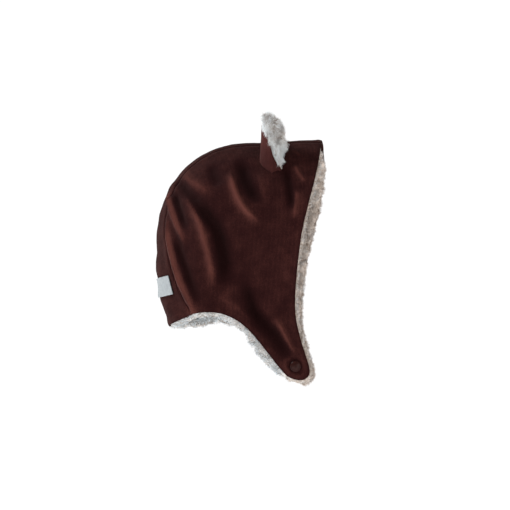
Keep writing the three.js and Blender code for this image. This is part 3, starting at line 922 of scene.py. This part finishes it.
def make_ear_fleece(side):
    """The base of the ear's fleece, sunk a little to leave room for its pile."""
    mesh = refined(quads_of("ear_fleece_" + side), "ear_fleece_base_" + side, EAR_FLEECE_LEVELS)
    points = coords(mesh)
    n = normals(mesh)
    rise = (0.9 * lumps(points, (4 * MM, 4 * MM, 8 * MM), 63) - 1.5) * MM
    set_coords(mesh, points + n * rise[:, None])
    place_on_mesh(mesh, "pile", np.full(len(points), 0.25))
    soften(mesh)
    fleece = add_object("ear_fleece_base_" + side, mesh)
    mesh.materials.clear()
    mesh.materials.append(EAR_FLEECE)
    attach(fleece, "root")
    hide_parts("ear_fleece_" + side)
    return fleece


def make_ear_pile(side, sign, cloth, fleece, low, high):
    """The ear's long pile, combed down from its tip in locks, with painted shade near the front of its
    upper half, where the inside of the ear's cup lies in shade.
    """
    own_cloth = surface_tree([cloth])
    weights = uncovered(fleece.data, own_cloth, EAR_COVER_REACH)
    root, up = roots_on(fleece.data, weights, EAR_BLADES)
    down = np.array([0.25 * sign, -0.25, -1.0])
    clump = curl(root, EAR_LOCKS, 71)
    jitter = rng.normal(scale=0.3, size=root.shape)
    height = smooth(root[:, 2], low.z, high.z)
    first = unit(up + 0.3 * down + 1.1 * clump + jitter)
    second = unit(0.4 * up + (1.1 - 0.7 * height)[:, None] * down + 1.2 * clump + jitter)
    length = (2.2 + 4.0 * rng.random(len(root))) * MM
    width = (0.26 + 0.26 * rng.random(len(root))) * MM
    inner_shade = smooth(height, 0.45, 0.75) * smooth(-root[:, 1], 31 * MM, 40 * MM)
    # Painted shade: the pile is darker near the front of the ear's upper half, inside its cup.
    tone = 0.28 + 0.2 * noise(root, EAR_LOCKS, 76) + 0.2 * rng.normal(size=len(root)) - 0.38 * inner_shade
    clear = clear_of(own_cloth, root, first, second, length)
    keep = clear & (root[:, 2] > low.z + EAR_BARE_FOOT)
    blade = [v[keep] for v in (root, first, second, length, width, tone)]
    pile = blades("ear_pile_" + side, *blade, EAR_FLEECE)
    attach(pile, "root")


def make_ear(side, cover):
    """One ear: its cloth back, its fleece front and the long pile on it."""
    sign = -1 if side == "right" else 1
    low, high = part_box("ear_back_" + side)
    cloth = make_ear_cloth(side, sign, cover, low, high)
    fleece = make_ear_fleece(side)
    make_ear_pile(side, sign, cloth, fleece, low, high)


# ---------------------------------------------------------------- snaps and label

def disc_axis(node):
    """A flat round CAD node's middle, the direction through it away from the middle plane, its points."""
    co = coords(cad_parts[node].data)
    middle = (co.min(0) + co.max(0)) / 2
    _, _, axes = np.linalg.svd(co - co.mean(0), full_matrices=False)
    axis = axes[2]
    away = np.array([np.sign(middle[0]), 0, 0])
    return middle, axis * np.sign(axis @ away), co


def turned(name, profile, middle, axis, sides=72):
    """A turned piece: profile is (distance from the axis, height along it) from axis to axis."""
    bm = bmesh.new()
    rings = []
    for radius, height in profile:
        if radius == 0:
            rings.append([bm.verts.new((0, 0, height))])
            continue
        ring = []
        for k in range(sides):
            turn = 2 * math.pi * k / sides
            ring.append(bm.verts.new((radius * math.cos(turn), radius * math.sin(turn), height)))
        rings.append(ring)
    for lower, upper in zip(rings, rings[1:]):
        for k in range(sides):
            a, b = lower[k % len(lower)], lower[(k + 1) % len(lower)]
            c, d = upper[(k + 1) % len(upper)], upper[k % len(upper)]
            bm.faces.new(list(dict.fromkeys([a, b, c, d])))
    bmesh.ops.recalc_face_normals(bm, faces=bm.faces)
    mesh = bpy.data.meshes.new(name)
    bm.to_mesh(mesh)
    bm.free()
    turn = Vector((0, 0, 1)).rotation_difference(Vector(axis)).to_matrix().to_4x4()
    mesh.transform(Matrix.Translation(Vector(middle)) @ turn)
    soften(mesh)
    return add_object(name, mesh)


def rounded(corners, reach, steps=5):
    """A profile with its corners rounded; its two ends stay."""
    out = [corners[0]]
    for a, b, c in zip(corners, corners[1:], corners[2:]):
        a, b, c = (np.array(p, float) for p in (a, b, c))
        cut = min(reach, np.linalg.norm(a - b) / 2, np.linalg.norm(c - b) / 2)
        start = b + (a - b) / np.linalg.norm(a - b) * cut
        end = b + (c - b) / np.linalg.norm(c - b) * cut
        for t in np.linspace(0, 1, steps):
            out.append(tuple((1 - t) ** 2 * start + 2 * t * (1 - t) * b + t * t * end))
    out.append(corners[-1])
    return out


CAP = [(0, 0), (1, 0), (1, 0.45), (0.86, 0.72), (0.74, 0.66), (0.62, 0.82), (0.3, 1), (0, 1)]
SOCKET = [(0, 0), (1, 0), (1, 0.55), (0.8, 1), (0.42, 1), (0.42, 0.5), (0, 0.5)]
STUD = [(0, 0), (1, 0), (1, 0.35), (0.42, 0.5), (0.34, 0.6), (0.38, 1), (0, 1)]
SNAP_ROUNDING = 0.35 * MM

# Each snap's outline, in shares of its radius and its height, and which way it faces: 1 is outward.
SNAPS = {
    "snap_cap_right": (CAP, 1),
    "snap_cap_left": (CAP, 1),
    "snap_socket": (SOCKET, -1),
    "snap_stud": (STUD, -1),
}


def make_snap(node):
    """A snap's turned half in the place and size of its CAD node."""
    shares, facing = SNAPS[node]
    middle, axis, co = disc_axis(node)
    axis = axis * facing
    heights = (co - middle) @ axis
    low = heights.min()
    tall = heights.max() - low
    radius = np.linalg.norm(co - middle - heights[:, None] * axis, axis=1).max()
    outline = [(across * radius, low + up * tall) for across, up in shares]
    obj = turned(node + "_turned", rounded(outline, SNAP_ROUNDING), middle, axis)
    obj.data.materials.append(SNAP)
    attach(obj, "root")
    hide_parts(node)


LABEL_LEVELS = 3
LABEL_CORNER = math.radians(50)
LABEL_HOLD = 0.9


def make_label():
    """The blank label: a piece of woven tape."""
    bm = quads_of("label")
    keep_sharp(bm, LABEL_CORNER, LABEL_HOLD)
    mesh = refined(bm, "label_tape", LABEL_LEVELS)
    points = coords(mesh)
    bend = 0.25 * noise(points, 9 * MM, 81) * MM
    lift = bend + fold_relief(points) + broad_relief(points)
    set_coords(mesh, points + outward(points) * lift[:, None])
    soften(mesh)
    obj = add_object("label_tape", mesh)
    mesh.materials.clear()
    mesh.materials.append(LABEL)
    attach(obj, "root")
    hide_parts("label")


# ---------------------------------------------------------------- room, light and camera

FLOOR_SIZE = 60
WORLD_LIGHT = ((0.93, 0.96, 1.0, 1), 0.27)   # the colour and strength that light the hat
WORLD_SEEN = ((1, 1, 1, 1), 1.05)            # and those that the camera sees

# Each light's place, size, power and colour.
LIGHTS = {
    "key": ((-0.42, 0.9, 0.8), 0.4, 11, (0.96, 0.98, 1.0)),
    "rim": ((0.25, 0.95, 0.75), 0.4, 5.5, (1, 1, 1)),
    "fill": ((-1.2, -1.0, 0.05), 1.0, 5.7, (1.0, 0.92, 0.86)),
}


def make_floor():
    bpy.ops.mesh.primitive_plane_add(size=FLOOR_SIZE, location=(0, 0, FLOOR_Z))
    floor = bpy.context.object
    floor.name = "floor"
    material, shader, _, _ = new_material("floor_white")
    set_inputs(shader, {
        "Base Color": (0.9, 0.9, 0.9, 1),
        "Roughness": 1.0,
        "Emission Color": (1, 1, 1, 1),
        "Emission Strength": 0.95,
    })
    floor.data.materials.append(material)


def make_world():
    """A white room that the camera sees brighter than it lights the hat."""
    world = bpy.data.worlds.new("studio")
    bpy.context.scene.world = world
    world.use_nodes = True
    tree = world.node_tree
    lit = tree.nodes["Background"]
    seen = tree.nodes.new("ShaderNodeBackground")
    for background, (colour, strength) in ((lit, WORLD_LIGHT), (seen, WORLD_SEEN)):
        set_inputs(background, {"Color": colour, "Strength": strength})
    path = tree.nodes.new("ShaderNodeLightPath")
    mix = tree.nodes.new("ShaderNodeMixShader")
    tree.links.new(path.outputs["Is Camera Ray"], mix.inputs[0])
    tree.links.new(lit.outputs[0], mix.inputs[1])
    tree.links.new(seen.outputs[0], mix.inputs[2])
    tree.links.new(mix.outputs[0], tree.nodes["World Output"].inputs[0])


def make_light(name):
    """A round light that points at what the camera aims at."""
    place, size, power, colour = LIGHTS[name]
    data = bpy.data.lights.new(name, "AREA")
    data.shape = "DISK"
    data.size = size
    data.energy = power
    data.color = colour
    obj = add_object(name, data)
    obj.location = place
    obj.rotation_euler = (CAMERA_AIM - Vector(place)).to_track_quat("-Z", "Y").to_euler()


def make_camera():
    forward = Vector((
        math.cos(CAMERA_RISE) * math.cos(CAMERA_TURN),
        math.cos(CAMERA_RISE) * math.sin(CAMERA_TURN),
        math.sin(CAMERA_RISE),
    ))
    camera = bpy.data.cameras.new("camera")
    camera.lens = CAMERA_LENS
    camera.sensor_width = CAMERA_SENSOR
    obj = add_object("camera", camera)
    obj.location = CAMERA_AIM - forward * CAMERA_FAR
    obj.rotation_euler = forward.to_track_quat("-Z", "Y").to_euler()
    bpy.context.scene.camera = obj


bpy.context.scene.view_settings.view_transform = "Standard"
make_camera()
make_floor()
make_world()
for light in LIGHTS:
    make_light(light)
cloth_surface = surface_tree(make_panels().values())
make_lining(cloth_surface)
for side in ("right", "left"):
    make_ear(side, cloth_surface)
make_label()
for node in SNAPS:
    make_snap(node)
